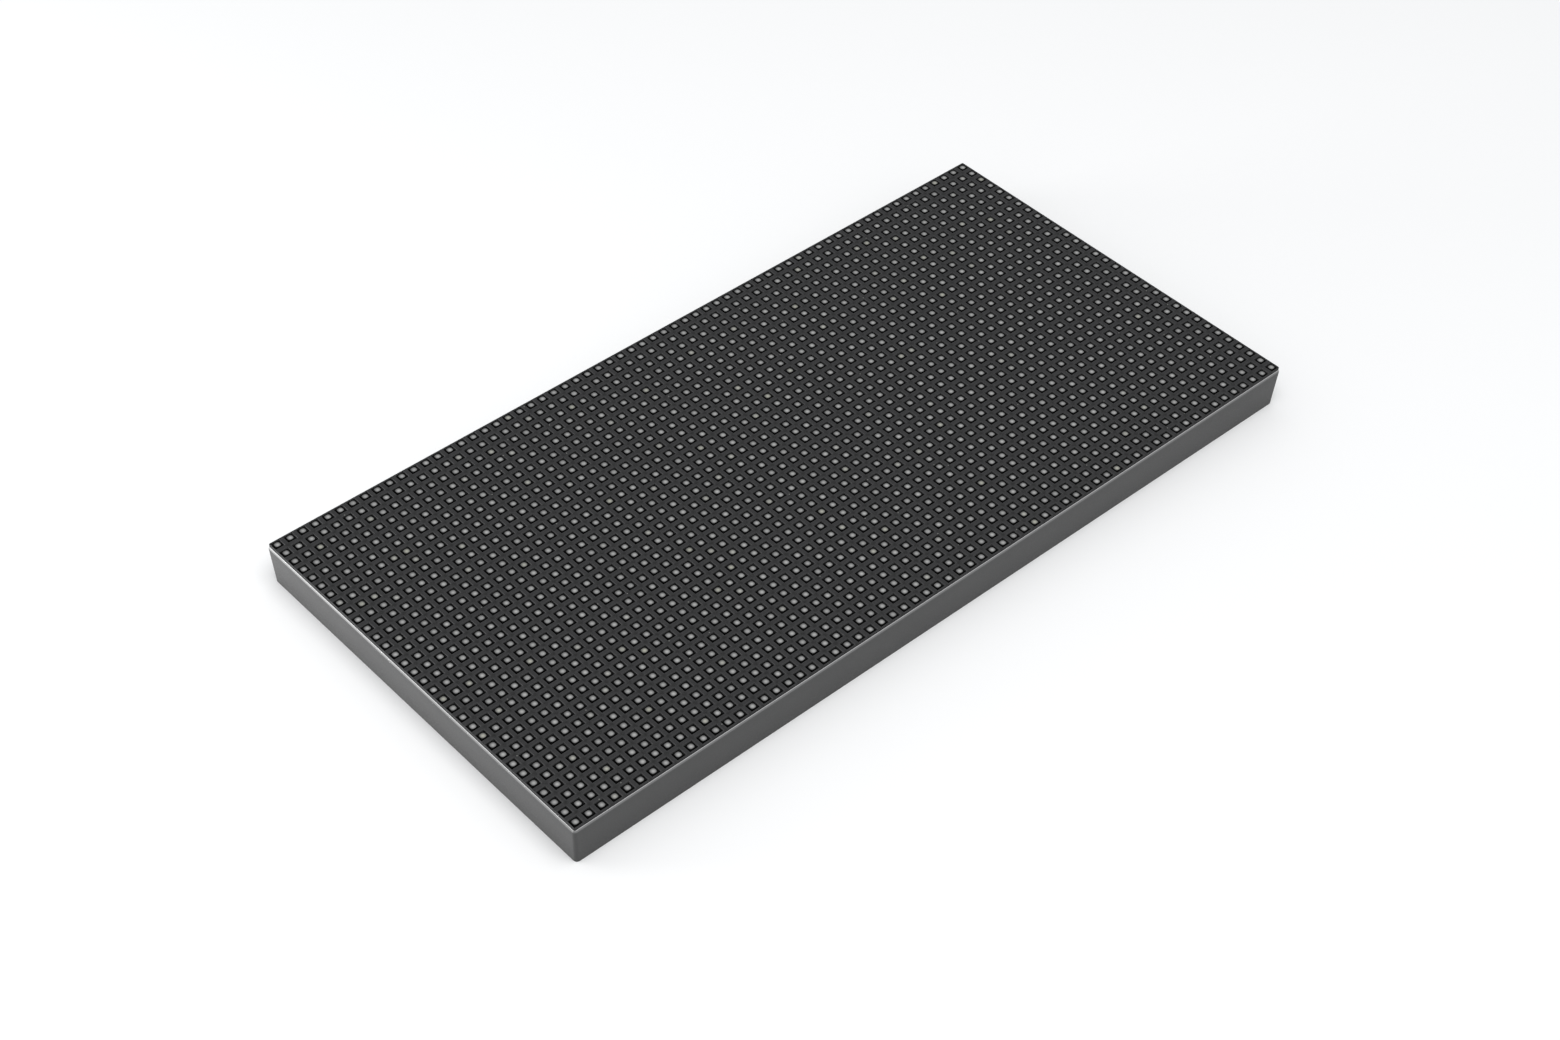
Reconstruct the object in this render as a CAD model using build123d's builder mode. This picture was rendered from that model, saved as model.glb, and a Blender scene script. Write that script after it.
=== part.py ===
from build123d import *
import os

# Pixel grid of the lit face, which sets the panel's length and width
pixel_pitch = 4.0
pixel_columns = 64
pixel_rows = 32
panel_length = pixel_columns * pixel_pitch
panel_width = pixel_rows * pixel_pitch

# Heights are taken up from the rear rim, which is z = 0
frame_depth = 10.8
board_thickness = 1.6
led_height = 0.8
mask_proud = 0.1
board_top = frame_depth + board_thickness
mask_thickness = led_height + mask_proud

# Rear frame: drafted walls, and a thin bevelled lip round the board's edge
corner_radius = 1.0
rear_corner_radius = 1.2
wall_draft = 0.55
wall_thickness = 1.55
inner_corner_radius = 1.2
lip_bevel_inset = 0.35
lip_bevel_height = 0.65
rear_length = panel_length - 2 * wall_draft
rear_width = panel_width - 2 * wall_draft
inner_length = rear_length - 2 * wall_thickness
inner_width = rear_width - 2 * wall_thickness
bevel_foot = board_top - lip_bevel_height

# Circuit board, which lies in the frame's recess
lip_thickness = 0.7
board_clearance = 0.1
board_corner_radius = 0.6
board_length = panel_length - 2 * (lip_thickness + board_clearance)
board_width = panel_width - 2 * (lip_thickness + board_clearance)

# Ribs carry the board from behind. They stand on lines between pixels
rib_thickness = 1.6
rib_recess = 2.0
rib_height = frame_depth - rib_recess
long_rib_y = 5 * pixel_pitch
cross_rib_x = 11 * pixel_pitch
rib_root = wall_thickness / 2

# Face mask: square windows, with a narrow border beyond the outermost ones
window_size = 2.74
mask_inset = 0.35
mask_corner_radius = 0.4
cross_bar_depth = 0.26
bar_parting = 0.02
upright_bar_depth = mask_thickness - cross_bar_depth - bar_parting
mask_length = panel_length - 2 * mask_inset
mask_width = panel_width - 2 * mask_inset
field_length = panel_length - pixel_pitch + window_size
field_width = panel_width - pixel_pitch + window_size

# LED packages
led_size = 2.1
led_strip_clearance = 0.02
led_strip_height = upright_bar_depth - led_strip_clearance

# Square posts under the mask run through the board into the frame's bosses
post_size = 1.6
post_clearance = 0.12
post_reach = 2.0
post_skin = 0.2
pilot_radius = 0.5
screw_boss_size = 5.5
screw_boss_height = 3.3
screw_end_x = 30 * pixel_pitch
screw_edge_y = 14 * pixel_pitch
post_hole_radius = post_size / 2**0.5 + post_clearance
post_foot = frame_depth - post_reach
screw_seat = frame_depth - screw_boss_height
edge_screws = [(x, y) for x in (-cross_rib_x, cross_rib_x) for y in (-screw_edge_y, screw_edge_y)]
end_screws = [(-screw_end_x, 0), (screw_end_x, 0)]
screw_spots = edge_screws + end_screws

# Self-tapping screws that hold mask, board and frame together
screw_head_radius = 1.9
screw_head_height = 1.1
screw_core_radius = 0.45
screw_length = 4.5
recess_width = 0.45
recess_span = 1.9
recess_depth = 0.55

# Hexagonal brass inserts, moulded into full-height bosses
insert_corner_radius = 2.6
insert_length = 6.0
insert_bore_radius = 1.25
insert_boss_wall = 1.4
insert_well = 0.5
insert_x = 28 * pixel_pitch
insert_y = 13 * pixel_pitch
insert_boss_radius = insert_corner_radius + insert_boss_wall
corner_inserts = [(x, y) for x in (-insert_x, insert_x) for y in (-insert_y, insert_y)]
middle_inserts = [(0, -insert_y), (0, insert_y)]
insert_spots = corner_inserts + middle_inserts

# Keyed data headers, two rows of eight pins, mouths to the rear
header_length = 27.9
header_width = 8.8
header_height = 8.9
header_wall = 1.1
header_end_wall = 1.3
header_floor = 1.9
header_standoff = 0.6
header_key_width = 4.5
header_edge_distance = 28.0
pin_pitch = 2.54
pins_per_row = 8
pin_size = 0.64
pin_hole_clearance = 0.02
pin_setback = 2.0
pin_foot_reach = 0.9
pin_foot_thickness = 0.35
header_x = panel_length / 2 - header_edge_distance
header_mouth = frame_depth - header_height

# Power header with four blades, its high wall latching the plug
power_pin_pitch = 3.96
power_pins = 4
power_pin_size = 1.14
power_pin_height = 8.6
power_base_width = 8.5
power_base_height = 2.6
power_wall = 1.0
power_wall_height = 8.0
power_end_margin = 2.2
power_length = (power_pins - 1) * power_pin_pitch + 2 * power_end_margin

# Chip packages on the board's rear, length, width and height
driver_size = (8.65, 3.9, 1.5)
buffer_size = (12.8, 7.5, 2.3)
decoder_size = (9.9, 3.9, 1.5)
switch_size = (4.9, 3.9, 1.5)
array_size = (3.2, 1.6, 0.55)
chip_capacitor_size = (1.6, 0.8, 0.8)
chip_resistor_size = (1.6, 0.8, 0.45)
package_draft = 8

# Places of the chips, set off from the ribs and the headers that they serve
driver_columns = 6
driver_spacing = 9 * pixel_pitch
driver_rib_offset = 10.0
driver_row_spacing = 16.0
driver_passive_offset = 7.0
array_offset = 12.0
array_spacing = 8.0
buffer_offset = 24.0
decoder_offset = 38.0
chip_pair_spacing = 18.0
switch_columns = 4
switch_spacing = 9.0
switch_offset = 32.0
driver_rows = [
    side * (long_rib_y + driver_rib_offset + row * driver_row_spacing)
    for side in (-1, 1)
    for row in (0, 1)
]

# Electrolytic capacitors beside the power header
can_radius = 4.0
can_height = 7.4
can_edge = 0.5
base_size = 8.3
base_height = 1.2
base_corner = 1.5
capacitor_spacing = 48.0

# Rear frame: one moulding, walls, ribs and bosses together
with BuildPart() as rear_frame:
    with BuildSketch(Plane.XY):
        RectangleRounded(rear_length, rear_width, rear_corner_radius)
    with BuildSketch(Plane.XY.offset(bevel_foot)):
        RectangleRounded(panel_length, panel_width, corner_radius)
    loft(ruled=True)
    with BuildSketch(Plane.XY.offset(bevel_foot)):
        RectangleRounded(panel_length, panel_width, corner_radius)
    with BuildSketch(Plane.XY.offset(board_top)):
        RectangleRounded(
            panel_length - 2 * lip_bevel_inset,
            panel_width - 2 * lip_bevel_inset,
            corner_radius - lip_bevel_inset,
        )
    loft(ruled=True)
    # Recess that the board drops into from the front
    with BuildSketch(Plane.XY.offset(frame_depth)):
        RectangleRounded(
            board_length + 2 * board_clearance,
            board_width + 2 * board_clearance,
            board_corner_radius + board_clearance,
        )
    extrude(amount=board_thickness, mode=Mode.SUBTRACT)
    # Open middle, which leaves a ledge under the board's edge
    with BuildSketch(Plane.XY):
        RectangleRounded(inner_length, inner_width, inner_corner_radius)
    extrude(amount=frame_depth, mode=Mode.SUBTRACT)
    # Two long ribs and two cross ribs
    with BuildSketch(Plane.XY.offset(rib_recess)):
        with GridLocations(0, 2 * long_rib_y, 1, 2):
            Rectangle(inner_length + 2 * rib_root, rib_thickness)
        with GridLocations(2 * cross_rib_x, 0, 2, 1):
            Rectangle(rib_thickness, inner_width + 2 * rib_root)
    extrude(amount=rib_height)
    # Webs that tie the fixing bosses to the walls and the long ribs
    with BuildSketch(Plane.XY.offset(rib_recess)):
        for side in (-1, 1):
            wall_y = inner_width / 2 + rib_root
            with Locations((0, side * (long_rib_y + wall_y) / 2)):
                Rectangle(rib_thickness, wall_y - long_rib_y)
        for x, y in corner_inserts:
            end_x = (inner_length / 2 + rib_root) * (1 if x > 0 else -1)
            end_y = (inner_width / 2 + rib_root) * (1 if y > 0 else -1)
            with Locations(((x + end_x) / 2, y)):
                Rectangle(abs(end_x - x), rib_thickness)
            with Locations((x, (y + end_y) / 2)):
                Rectangle(rib_thickness, abs(end_y - y))
        for x, y in end_screws:
            end_x = (inner_length / 2 + rib_root) * (1 if x > 0 else -1)
            with Locations(((x + end_x) / 2, y)):
                Rectangle(abs(end_x - x), rib_thickness)
    extrude(amount=rib_height)
    # Bosses for the brass inserts, level with the rear rim
    with BuildSketch(Plane.XY):
        with Locations(*insert_spots):
            Circle(insert_boss_radius)
    extrude(amount=frame_depth)
    with BuildSketch(Plane.XY):
        with Locations(*insert_spots):
            RegularPolygon(insert_corner_radius, 6)
    extrude(amount=insert_length + insert_well, mode=Mode.SUBTRACT)
    # Blocks for the mask screws. The ribs stop below them to let the driver in
    with BuildSketch(Plane.XY.offset(screw_seat)):
        with Locations(*screw_spots):
            Rectangle(screw_boss_size, screw_boss_size)
    extrude(amount=-screw_seat, mode=Mode.SUBTRACT)
    with BuildSketch(Plane.XY.offset(screw_seat)):
        with Locations(*screw_spots):
            Rectangle(screw_boss_size, screw_boss_size)
    extrude(amount=screw_boss_height)
    with Locations(*[(x, y, frame_depth) for x, y in screw_spots]):
        Hole(post_hole_radius, depth=screw_boss_height)
rear_frame.part.label = "rear_frame"
export_step(rear_frame.part, "parts/rear_frame.step")

# Circuit board, drilled for the mask's posts
with BuildPart() as circuit_board:
    with BuildSketch(Plane.XY.offset(frame_depth)):
        RectangleRounded(board_length, board_width, board_corner_radius)
        with Locations(*screw_spots):
            Circle(post_hole_radius, mode=Mode.SUBTRACT)
    extrude(amount=board_thickness)
circuit_board.part.label = "circuit_board"
export_step(circuit_board.part, "parts/circuit_board.step")

# Face mask. Bars along the width lie under bars along the length, and where
# they cross a square window is left over each pixel
with BuildPart() as front_mask:
    with BuildSketch(Plane.XY.offset(board_top)):
        RectangleRounded(mask_length, mask_width, mask_corner_radius)
    extrude(amount=mask_thickness)
    with BuildSketch(Plane.XY.offset(board_top)):
        with GridLocations(pixel_pitch, 0, pixel_columns, 1):
            Rectangle(window_size, field_width)
    extrude(amount=upright_bar_depth, mode=Mode.SUBTRACT)
    with BuildSketch(Plane.XY.offset(board_top + upright_bar_depth)):
        Rectangle(field_length, field_width)
    extrude(amount=bar_parting, mode=Mode.SUBTRACT)
    with BuildSketch(Plane.XY.offset(board_top + mask_thickness)):
        with GridLocations(0, pixel_pitch, 1, pixel_rows):
            Rectangle(field_length, window_size)
    extrude(amount=-cross_bar_depth, mode=Mode.SUBTRACT)
    # Posts with pilot holes for the self-tapping screws
    with BuildSketch(Plane.XY.offset(post_foot)):
        with Locations(*screw_spots):
            Rectangle(post_size, post_size)
    extrude(amount=board_top - post_foot)
    with Locations(*[Plane(origin=(x, y, post_foot), z_dir=(0, 0, -1)) for x, y in screw_spots]):
        Hole(pilot_radius, depth=board_top - post_foot - post_skin)
front_mask.part.label = "front_mask"
export_step(front_mask.part, "parts/front_mask.step")

# LED packages, run together into one strip for each column of pixels
with BuildPart() as leds:
    with BuildSketch(Plane.XY.offset(board_top)):
        with GridLocations(pixel_pitch, 0, pixel_columns, 1):
            Rectangle(led_size, panel_width - pixel_pitch + led_size)
    extrude(amount=led_strip_height)
leds.part.label = "leds"
export_step(leds.part, "parts/leds.step")

# Mask screws: head with a cross recess, and the thread's core
with BuildPart() as mask_screws:
    with BuildSketch(Plane.XY.offset(screw_seat)):
        with Locations(*screw_spots):
            Circle(screw_head_radius)
    extrude(amount=-screw_head_height)
    with BuildSketch(Plane.XY.offset(screw_seat)):
        with Locations(*screw_spots):
            Circle(screw_core_radius)
    extrude(amount=screw_length)
    with BuildSketch(Plane.XY.offset(screw_seat - screw_head_height)):
        with Locations(*screw_spots):
            Rectangle(recess_span, recess_width)
            Rectangle(recess_width, recess_span)
    extrude(amount=recess_depth, mode=Mode.SUBTRACT)
mask_screws.part.label = "mask_screws"
export_step(mask_screws.part, "parts/mask_screws.step")

# Brass inserts, mouths level with the rear rim
with BuildPart() as mounting_inserts:
    with BuildSketch(Plane.XY):
        with Locations(*insert_spots):
            RegularPolygon(insert_corner_radius, 6)
            Circle(insert_bore_radius, mode=Mode.SUBTRACT)
    extrude(amount=insert_length)
mounting_inserts.part.label = "mounting_inserts"
export_step(mounting_inserts.part, "parts/mounting_inserts.step")

# Data headers at the two ends: the key slot of each faces the panel's middle
for end, side in (("data_in", -1), ("data_out", 1)):
    centre_x = side * header_x
    pin_top = frame_depth - header_standoff
    with BuildPart() as header_shell:
        with BuildSketch(Plane.XY.offset(header_mouth)):
            with Locations((centre_x, 0)):
                Rectangle(header_width, header_length)
        extrude(amount=header_height)
        # Cavity for the plug
        with BuildSketch(Plane.XY.offset(header_mouth)):
            with Locations((centre_x, 0)):
                Rectangle(header_width - 2 * header_wall, header_length - 2 * header_end_wall)
        extrude(amount=header_height - header_standoff - header_floor, mode=Mode.SUBTRACT)
        # Key slot
        with BuildSketch(Plane.XY.offset(header_mouth)):
            with Locations((centre_x - side * (header_width - header_wall) / 2, 0)):
                Rectangle(header_wall, header_key_width)
        extrude(amount=header_height - header_standoff - header_floor, mode=Mode.SUBTRACT)
        # Channel under the floor, where the soldered feet of the pins run out
        with BuildSketch(Plane.XY.offset(frame_depth)):
            with Locations((centre_x, 0)):
                Rectangle(header_width, header_length - 2 * header_end_wall)
        extrude(amount=-header_standoff, mode=Mode.SUBTRACT)
        # Holes that the pins are pressed through
        with BuildSketch(Plane.XY.offset(pin_top)):
            with Locations((centre_x, 0)):
                with GridLocations(pin_pitch, pin_pitch, 2, pins_per_row):
                    Rectangle(pin_size + 2 * pin_hole_clearance, pin_size + 2 * pin_hole_clearance)
        extrude(amount=-header_floor, mode=Mode.SUBTRACT)
    header_shell.part.label = end + "_header"
    export_step(header_shell.part, "parts/" + end + "_header.step")

    with BuildPart() as header_pins:
        with BuildSketch(Plane.XY.offset(frame_depth)):
            with Locations((centre_x, 0)):
                with GridLocations(pin_pitch, pin_pitch, 2, pins_per_row):
                    Rectangle(pin_size, pin_size)
        extrude(amount=-(header_height - pin_setback))
        foot_end = header_width / 2 + pin_foot_reach
        foot_length = foot_end - pin_pitch / 2
        with BuildSketch(Plane.XY.offset(frame_depth)):
            with Locations((centre_x, 0)):
                with GridLocations(foot_end + pin_pitch / 2, pin_pitch, 2, pins_per_row):
                    Rectangle(foot_length, pin_size)
        extrude(amount=-pin_foot_thickness)
    header_pins.part.label = end + "_pins"
    export_step(header_pins.part, "parts/" + end + "_pins.step")

# Power header in the middle of the board
with BuildPart() as power_header:
    with BuildSketch(Plane.XY.offset(frame_depth)):
        Rectangle(power_length, power_base_width)
    extrude(amount=-power_base_height)
    with BuildSketch(Plane.XY.offset(frame_depth)):
        with Locations((0, (power_base_width - power_wall) / 2)):
            Rectangle(power_length, power_wall)
    extrude(amount=-power_wall_height)
    with BuildSketch(Plane.XY.offset(frame_depth)):
        with GridLocations(power_pin_pitch, 0, power_pins, 1):
            power_hole = power_pin_size + 2 * pin_hole_clearance
            Rectangle(power_hole, power_hole)
    extrude(amount=-power_base_height, mode=Mode.SUBTRACT)
power_header.part.label = "power_header"
export_step(power_header.part, "parts/power_header.step")

with BuildPart() as power_pins_set:
    with BuildSketch(Plane.XY.offset(frame_depth)):
        with GridLocations(power_pin_pitch, 0, power_pins, 1):
            Rectangle(power_pin_size, power_pin_size)
    extrude(amount=-power_pin_height)
power_pins_set.part.label = "power_pins"
export_step(power_pins_set.part, "parts/power_pins.step")

# Chip packages. Each kind is one node, drafted bodies on the board's rear
driver_spots = [
    ((column - (driver_columns - 1) / 2) * driver_spacing, y)
    for y in driver_rows
    for column in range(driver_columns)
]
input_side = -header_x
output_side = header_x
array_spots = [(input_side + array_offset, (n - 1.5) * array_spacing) for n in range(4)]
buffer_spots = [(input_side + buffer_offset, side * chip_pair_spacing / 2) for side in (-1, 1)]
decoder_spots = [(input_side + decoder_offset, side * chip_pair_spacing / 2) for side in (-1, 1)]
switch_spots = [
    (output_side - switch_offset + (n - (switch_columns - 1) / 2) * switch_spacing,
     side * chip_pair_spacing / 2)
    for side in (-1, 1)
    for n in range(switch_columns)
]
capacitor_spots = [(x + driver_passive_offset, y) for x, y in driver_spots]
resistor_spots = [(x - driver_passive_offset, y) for x, y in driver_spots]

# Name, size, places, turn of the long side from the X axis, and draft
packages = [
    ("driver_chips", driver_size, driver_spots, 0, package_draft),
    ("buffer_chips", buffer_size, buffer_spots, 90, package_draft),
    ("row_decoders", decoder_size, decoder_spots, 90, package_draft),
    ("row_switches", switch_size, switch_spots, 90, package_draft),
    ("resistor_arrays", array_size, array_spots, 90, 0),
    ("chip_capacitors", chip_capacitor_size, capacitor_spots, 90, 0),
    ("chip_resistors", chip_resistor_size, resistor_spots, 90, 0),
]
for name, (length, width, height), spots, turn, draft in packages:
    with BuildPart() as package:
        with BuildSketch(Plane.XY.offset(frame_depth)):
            with Locations(*spots):
                Rectangle(length, width, rotation=turn)
        extrude(amount=-height, taper=draft)
    package.part.label = name
    export_step(package.part, "parts/" + name + ".step")

# Electrolytic capacitors: a plastic base with two cut corners under each can
with BuildPart() as capacitor_bases:
    half = base_size / 2
    base_outline = [
        (-half, -half),
        (half - base_corner, -half),
        (half, -half + base_corner),
        (half, half - base_corner),
        (half - base_corner, half),
        (-half, half),
    ]
    with BuildSketch(Plane.XY.offset(frame_depth)):
        with GridLocations(capacitor_spacing, 0, 2, 1):
            Polygon(*base_outline, align=None)
    extrude(amount=-base_height)
capacitor_bases.part.label = "capacitor_bases"
export_step(capacitor_bases.part, "parts/capacitor_bases.step")

can_foot = frame_depth - base_height
with BuildPart() as capacitor_cans:
    with BuildSketch(Plane.XY.offset(can_foot)):
        with GridLocations(capacitor_spacing, 0, 2, 1):
            Circle(can_radius)
    extrude(amount=-can_height)
    chamfer(capacitor_cans.faces().sort_by(Axis.Z)[:2].edges(), can_edge)
capacitor_cans.part.label = "capacitor_cans"
export_step(capacitor_cans.part, "parts/capacitor_cans.step")
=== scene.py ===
import math
import bmesh
import bpy
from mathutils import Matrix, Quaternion, Vector


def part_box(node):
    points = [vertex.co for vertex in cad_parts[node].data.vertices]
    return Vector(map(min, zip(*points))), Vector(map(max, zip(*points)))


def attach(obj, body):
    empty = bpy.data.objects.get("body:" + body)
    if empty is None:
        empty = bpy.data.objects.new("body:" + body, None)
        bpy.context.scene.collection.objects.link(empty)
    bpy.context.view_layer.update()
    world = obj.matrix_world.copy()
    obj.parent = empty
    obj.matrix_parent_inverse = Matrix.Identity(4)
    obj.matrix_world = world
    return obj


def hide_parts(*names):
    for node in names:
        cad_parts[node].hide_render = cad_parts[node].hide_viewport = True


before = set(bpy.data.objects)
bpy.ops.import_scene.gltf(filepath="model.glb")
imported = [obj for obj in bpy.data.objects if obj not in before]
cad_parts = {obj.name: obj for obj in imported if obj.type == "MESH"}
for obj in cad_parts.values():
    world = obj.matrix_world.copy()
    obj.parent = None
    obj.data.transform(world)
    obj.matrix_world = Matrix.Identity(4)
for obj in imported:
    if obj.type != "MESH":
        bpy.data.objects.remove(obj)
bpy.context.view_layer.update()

# Camera. A long lens looks down at the lit face from beyond the near corner,
# about 44 degrees below the level.
mm = 0.001
camera_place = Vector((-368.7, -392.5, 507.3)) * mm
camera_aim = Vector((-20.6, -17.26, 13.2)) * mm
camera_roll = math.radians(1.32)
bpy.ops.object.camera_add(location=camera_place)
camera = bpy.context.object
camera.name = "studio_camera"
camera.data.sensor_width = 36
camera.data.lens = 61.97
camera.data.clip_start = 0.01
camera.rotation_mode = "QUATERNION"
look_back = (camera_place - camera_aim).to_track_quat("Z", "Y")
camera.rotation_quaternion = look_back @ Quaternion((0, 0, 1), camera_roll)
bpy.context.scene.camera = camera

# Studio light. A pale dome all round, a wide softbox overhead, and one long strip on the
# left, just over the table, that lights the panel's short side more than its long one.
bpy.context.scene.view_settings.view_transform = "Standard"
world = bpy.data.worlds.new("studio_dome")
bpy.context.scene.world = world
world.use_nodes = True
world.node_tree.nodes["Background"].inputs["Color"].default_value = (0.97, 0.985, 1.0, 1)
world.node_tree.nodes["Background"].inputs["Strength"].default_value = 0.6


def softbox(name, place, aim, width, height, watts):
    """A rectangular area light at place, facing aim."""
    bpy.ops.object.light_add(type="AREA", location=place)
    lamp = bpy.context.object
    lamp.name = name
    lamp.data.shape = "RECTANGLE"
    lamp.data.size = width
    lamp.data.size_y = height
    lamp.data.energy = watts
    lamp.rotation_mode = "QUATERNION"
    lamp.rotation_quaternion = (Vector(place) - Vector(aim)).to_track_quat("Z", "Y")


softbox("overhead_softbox", (-0.15, -0.35, 1.15), (0, 0, 0), 1.0, 0.8, 8.5)
softbox("left_strip", (-0.46, 0.4, 0.03), (-0.128, 0.06, 0.01), 0.3, 0.05, 4.1)


# Rear frame: one grey plastic moulding with a slightly matt, finely grained skin. Its thin
# lip stands round the board and the mask, and the mould has left every corner a little round.
class Wire:
    """One output socket of a material's nodes. Sums written with it add Math nodes."""

    def __init__(self, finish, socket):
        self.finish = finish
        self.socket = socket

    def math(self, operation, *values):
        sockets = dict(enumerate(values))
        return self.finish.node("ShaderNodeMath", {"operation": operation}, sockets)

    def __add__(self, other):
        return self.math("ADD", self, other)

    def __radd__(self, other):
        return self.math("ADD", other, self)

    def __sub__(self, other):
        return self.math("SUBTRACT", self, other)

    def __rsub__(self, other):
        return self.math("SUBTRACT", other, self)

    def __mul__(self, other):
        return self.math("MULTIPLY", self, other)

    def __rmul__(self, other):
        return self.math("MULTIPLY", other, self)

    def __truediv__(self, other):
        return self.math("DIVIDE", self, other)

    def __lt__(self, other):
        return self.math("LESS_THAN", self, other)

    def __gt__(self, other):
        return self.math("GREATER_THAN", self, other)

    def __abs__(self):
        return self.math("ABSOLUTE", self)

    def floor(self):
        return self.math("FLOOR", self)

    def fraction(self):
        return self.math("FRACT", self)

    def larger(self, other):
        return self.math("MAXIMUM", self, other)

    def reach(self, other):
        """The length of a line that goes this far one way and other the other way."""
        return self.math("SQRT", self * self + other * other)

    def ramp(self, low, high, to_low=0.0, to_high=1.0):
        """This value carried from low..high to to_low..to_high, and held at the ends."""
        sockets = {0: self, 1: low, 2: high, 3: to_low, 4: to_high}
        return self.finish.node("ShaderNodeMapRange", {"clamp": True}, sockets)


class Finish:
    """A material, its Principled shader and the nodes that vary it over the surface."""

    def __init__(self, name, constants):
        self.material = bpy.data.materials.new(name)
        self.material.use_nodes = True
        self.tree = self.material.node_tree
        self.shader = self.tree.nodes["Principled BSDF"]
        for socket, value in constants.items():
            self.shader.inputs[socket].default_value = value

    def node(self, kind, settings, sockets, output=0):
        """Adds any node: its settings first, then values or links for its sockets."""
        made = self.tree.nodes.new(kind)
        for key, value in settings.items():
            setattr(made, key, value)
        for key, value in sockets.items():
            if isinstance(value, Wire):
                self.tree.links.new(value.socket, made.inputs[key])
            else:
                made.inputs[key].default_value = value
        return Wire(self, made.outputs[output])

    def place(self):
        """Object coordinates, in metres."""
        return self.node("ShaderNodeTexCoord", {}, {}, "Object")

    def axes(self, vector):
        """The X, Y and Z of a vector."""
        first = self.node("ShaderNodeSeparateXYZ", {}, {0: vector})
        outputs = first.socket.node.outputs
        return first, Wire(self, outputs[1]), Wire(self, outputs[2])

    def noise(self, vector, size, detail=2.0, roughness=0.5):
        """Soft noise from 0 to 1 whose lumps are about size metres across."""
        sockets = {"Vector": vector, "Scale": 1 / size, "Detail": detail, "Roughness": roughness}
        return self.node("ShaderNodeTexNoise", {}, sockets, "Fac")

    def draw(self, *numbers):
        """A random number from 0 to 1, the same wherever the whole numbers are the same."""
        cell = self.node("ShaderNodeCombineXYZ", {}, dict(enumerate(numbers)))
        return self.node("ShaderNodeTexWhiteNoise", {}, {"Vector": cell}, "Value")

    def mix(self, factor, first, second):
        """A colour between two colours."""
        sockets = {0: factor, 6: first, 7: second}
        return self.node("ShaderNodeMix", {"data_type": "RGBA"}, sockets, 2)

    def feed(self, socket, wire):
        """Links a value to one of the shader's own sockets."""
        self.tree.links.new(wire.socket, self.shader.inputs[socket])

    def bump(self, height, distance):
        """Links a bump of that height, in units of distance metres, to the normal."""
        sockets = {"Height": height, "Distance": distance, "Strength": 1.0}
        self.feed("Normal", self.node("ShaderNodeBump", {}, sockets))

    def paint(self, *pieces):
        """Makes this the only material of each piece."""
        for piece in pieces:
            piece.data.materials.clear()
            piece.data.materials.append(self.material)


def grey(level):
    """An even grey, as a colour for a shader."""
    return (level, level, level, 1)


def deselect():
    """Goes back to object mode, with nothing selected."""
    if bpy.context.mode != "OBJECT":
        bpy.ops.object.mode_set(mode="OBJECT")
    bpy.ops.object.select_all(action="DESELECT")


def pick(piece):
    """Makes the piece the only selected and active object."""
    deselect()
    piece.select_set(True)
    bpy.context.view_layer.objects.active = piece


def shape(piece):
    """Opens the piece in edit mode."""
    pick(piece)
    bpy.ops.object.mode_set(mode="EDIT")


def pick_where(piece, kind, test):
    """In edit mode, selects only the verts, edges or faces that pass the test."""
    bpy.ops.mesh.select_mode(type=kind.upper())
    bpy.ops.mesh.select_all(action="DESELECT")
    mesh = bmesh.from_edit_mesh(piece.data)
    elements = {"vert": mesh.verts, "edge": mesh.edges, "face": mesh.faces}[kind]
    for element in elements:
        if test(element):
            element.select_set(True)
    mesh.select_flush(True)
    bmesh.update_edit_mesh(piece.data)


def modify(piece, kind, **settings):
    """Adds a modifier, sets it and applies it."""
    pick(piece)
    modifier = piece.modifiers.new(kind.lower(), kind)
    for key, value in settings.items():
        setattr(modifier, key, value)
    bpy.ops.object.modifier_apply(modifier=modifier.name)


def soften(piece, edge, segments=2):
    """Rounds the piece's sharp edges off by edge."""
    modify(
        piece, "BEVEL", width=edge, segments=segments, use_clamp_overlap=False,
        limit_method="ANGLE", angle_limit=math.radians(25),
    )
    bpy.ops.object.shade_smooth_by_angle(angle=math.radians(30))


def mount(piece, slot, *nodes):
    """Puts a finished piece on the body, in place of the plain solids named."""
    for node in nodes:
        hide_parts(node)
    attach(piece, "root")


def moulded_copy(node, slot, edge, segments=2):
    """A CAD node's shape, welded into one skin, with its sharp edges rounded."""
    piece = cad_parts[node].copy()
    piece.data = piece.data.copy()
    for key in list(piece.keys()):
        del piece[key]
    piece.name = node + "_shaped"
    bpy.context.scene.collection.objects.link(piece)
    shape(piece)
    bpy.ops.mesh.select_all(action="SELECT")
    bpy.ops.mesh.remove_doubles(threshold=0.002 * mm)
    bpy.ops.mesh.dissolve_limited(angle_limit=math.radians(0.5))
    bpy.ops.object.mode_set(mode="OBJECT")
    soften(piece, edge, segments)
    mount(piece, slot, node)
    return piece


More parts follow.
